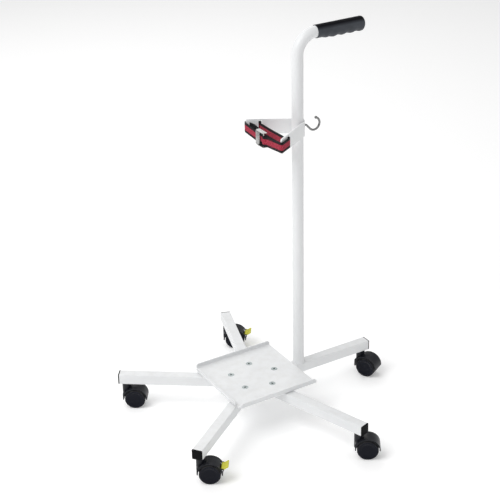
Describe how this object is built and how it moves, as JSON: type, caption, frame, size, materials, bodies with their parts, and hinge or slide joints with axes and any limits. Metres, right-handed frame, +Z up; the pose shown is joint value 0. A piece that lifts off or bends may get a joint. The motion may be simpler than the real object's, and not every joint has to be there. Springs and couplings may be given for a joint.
{
  "type": "equipment trolley",
  "caption": "Hospital equipment trolley: castored star base of square tube, shallow tray, single post bent over to a grip handle, and a V bracket with webbing strap and hook.",
  "frame": {"origin": "on the floor, under the middle of the whole trolley's bounding box", "axes": "+Z up; +X along the leg that carries the post, the way the handle points; +Y to the left of that"},
  "size_m": [0.63, 0.661, 0.9352],
  "materials": {
    "leg_paint": "satin powder coat, light grey",
    "tray_paint": "satin powder coat, light grey",
    "post_paint": "satin powder coat, off-white",
    "weld_paint": "powder coat over a weld bead",
    "cap_plastic": "moulded, fine texture",
    "zinc_steel": "zinc plated",
    "bright_steel": "turned, plated",
    "grip_rubber": "soft, matt",
    "webbing": "woven, black with a crimson centre stripe",
    "nickel": "nickel plated",
    "hook_steel": "plated wire",
    "castor_nylon": "moulded nylon, fine texture",
    "wheel_plastic": "moulded, satin",
    "brake_yellow": "moulded"
  },
  "bodies": {
    "frame": {"leg_1": "leg_paint", "leg_2": "leg_paint", "leg_3": "leg_paint", "leg_4": "leg_paint", "leg_5": "leg_paint", "hub_welds": "weld_paint", "leg_end_caps": "cap_plastic", "tray_weld_nuts": "zinc_steel", "stem_weld_nuts": "zinc_steel", "tray": "tray_paint", "tray_screws": "zinc_steel", "post": "post_paint", "post_weld": "weld_paint", "handle_grip": "grip_rubber", "strap_bracket": "post_paint", "bracket_weld": "weld_paint", "strap": "webbing", "buckle_frame": "nickel", "buckle_pin": "nickel", "hook": "hook_steel", "hook_weld": "weld_paint", "castor_stems": "bright_steel", "stem_rings": "bright_steel"},
    "buckle_cam": {"buckle_lever": "nickel"},
    "castor_1": {"castor_1_hood": "castor_nylon", "castor_1_axle": "bright_steel"},
    "castor_1_wheel_left": {"castor_1_wheel_left": "wheel_plastic"},
    "castor_1_wheel_right": {"castor_1_wheel_right": "wheel_plastic"},
    "castor_2": {"castor_2_hood": "castor_nylon", "castor_2_axle": "bright_steel", "castor_2_brake_pin": "bright_steel"},
    "castor_2_wheel_left": {"castor_2_wheel_left": "wheel_plastic"},
    "castor_2_wheel_right": {"castor_2_wheel_right": "wheel_plastic"},
    "castor_2_brake": {"castor_2_brake_lever": "brake_yellow"},
    "castor_3": {"castor_3_hood": "castor_nylon", "castor_3_axle": "bright_steel"},
    "castor_3_wheel_left": {"castor_3_wheel_left": "wheel_plastic"},
    "castor_3_wheel_right": {"castor_3_wheel_right": "wheel_plastic"},
    "castor_4": {"castor_4_hood": "castor_nylon", "castor_4_axle": "bright_steel", "castor_4_brake_pin": "bright_steel"},
    "castor_4_wheel_left": {"castor_4_wheel_left": "wheel_plastic"},
    "castor_4_wheel_right": {"castor_4_wheel_right": "wheel_plastic"},
    "castor_4_brake": {"castor_4_brake_lever": "brake_yellow"},
    "castor_5": {"castor_5_hood": "castor_nylon", "castor_5_axle": "bright_steel"},
    "castor_5_wheel_left": {"castor_5_wheel_left": "wheel_plastic"},
    "castor_5_wheel_right": {"castor_5_wheel_right": "wheel_plastic"}
  },
  "joints": [
    {"name": "buckle_cam_hinge", "type": "hinge", "parent": "frame", "child": "buckle_cam", "pos_m": [-0.01042, 0.01959, 0.6995], "axis": [0, 0, 1], "range_deg": [0, 70]},
    {"name": "castor_1_swivel", "type": "hinge", "parent": "frame", "child": "castor_1", "pos_m": [0.27445, 0.01109, 0.065], "axis": [0, 0, 1], "continuous": true},
    {"name": "castor_1_wheel_left_spin", "type": "hinge", "parent": "castor_1", "child": "castor_1_wheel_left", "pos_m": [0.28495, -0.0071, 0.025], "axis": [0.866, 0.5, 0], "continuous": true},
    {"name": "castor_1_wheel_right_spin", "type": "hinge", "parent": "castor_1", "child": "castor_1_wheel_right", "pos_m": [0.28495, -0.0071, 0.025], "axis": [0.866, 0.5, 0], "continuous": true},
    {"name": "castor_2_swivel", "type": "hinge", "parent": "frame", "child": "castor_2", "pos_m": [0.05748, 0.30972, 0.065], "axis": [0, 0, 1], "continuous": true},
    {"name": "castor_2_wheel_left_spin", "type": "hinge", "parent": "castor_2", "child": "castor_2_wheel_left", "pos_m": [0.07489, 0.29798, 0.025], "axis": [0.5592, 0.829, 0], "continuous": true},
    {"name": "castor_2_wheel_right_spin", "type": "hinge", "parent": "castor_2", "child": "castor_2_wheel_right", "pos_m": [0.07489, 0.29798, 0.025], "axis": [0.5592, 0.829, 0], "continuous": true},
    {"name": "castor_2_brake_hinge", "type": "hinge", "parent": "castor_2", "child": "castor_2_brake", "pos_m": [0.09872, 0.28191, 0.03661], "axis": [0.5592, 0.829, 0], "range_deg": [0, 25]},
    {"name": "castor_3_swivel", "type": "hinge", "parent": "frame", "child": "castor_3", "pos_m": [-0.29358, 0.19565, 0.065], "axis": [0, 0, 1], "continuous": true},
    {"name": "castor_3_wheel_left_spin", "type": "hinge", "parent": "castor_3", "child": "castor_3_wheel_left", "pos_m": [-0.27618, 0.18391, 0.025], "axis": [0.5592, 0.829, 0], "continuous": true},
    {"name": "castor_3_wheel_right_spin", "type": "hinge", "parent": "castor_3", "child": "castor_3_wheel_right", "pos_m": [-0.27618, 0.18391, 0.025], "axis": [0.5592, 0.829, 0], "continuous": true},
    {"name": "castor_4_swivel", "type": "hinge", "parent": "frame", "child": "castor_4", "pos_m": [-0.29358, -0.17347, 0.065], "axis": [0, 0, 1], "continuous": true},
    {"name": "castor_4_wheel_left_spin", "type": "hinge", "parent": "castor_4", "child": "castor_4_wheel_left", "pos_m": [-0.27618, -0.18522, 0.025], "axis": [0.5592, 0.829, 0], "continuous": true},
    {"name": "castor_4_wheel_right_spin", "type": "hinge", "parent": "castor_4", "child": "castor_4_wheel_right", "pos_m": [-0.27618, -0.18522, 0.025], "axis": [0.5592, 0.829, 0], "continuous": true},
    {"name": "castor_4_brake_hinge", "type": "hinge", "parent": "castor_4", "child": "castor_4_brake", "pos_m": [-0.25235, -0.20129, 0.03661], "axis": [0.5592, 0.829, 0], "range_deg": [0, 25]},
    {"name": "castor_5_swivel", "type": "hinge", "parent": "frame", "child": "castor_5", "pos_m": [0.05748, -0.28754, 0.065], "axis": [0, 0, 1], "continuous": true},
    {"name": "castor_5_wheel_left_spin", "type": "hinge", "parent": "castor_5", "child": "castor_5_wheel_left", "pos_m": [0.07489, -0.29929, 0.025], "axis": [0.5592, 0.829, 0], "continuous": true},
    {"name": "castor_5_wheel_right_spin", "type": "hinge", "parent": "castor_5", "child": "castor_5_wheel_right", "pos_m": [0.07489, -0.29929, 0.025], "axis": [0.5592, 0.829, 0], "continuous": true}
  ]
}
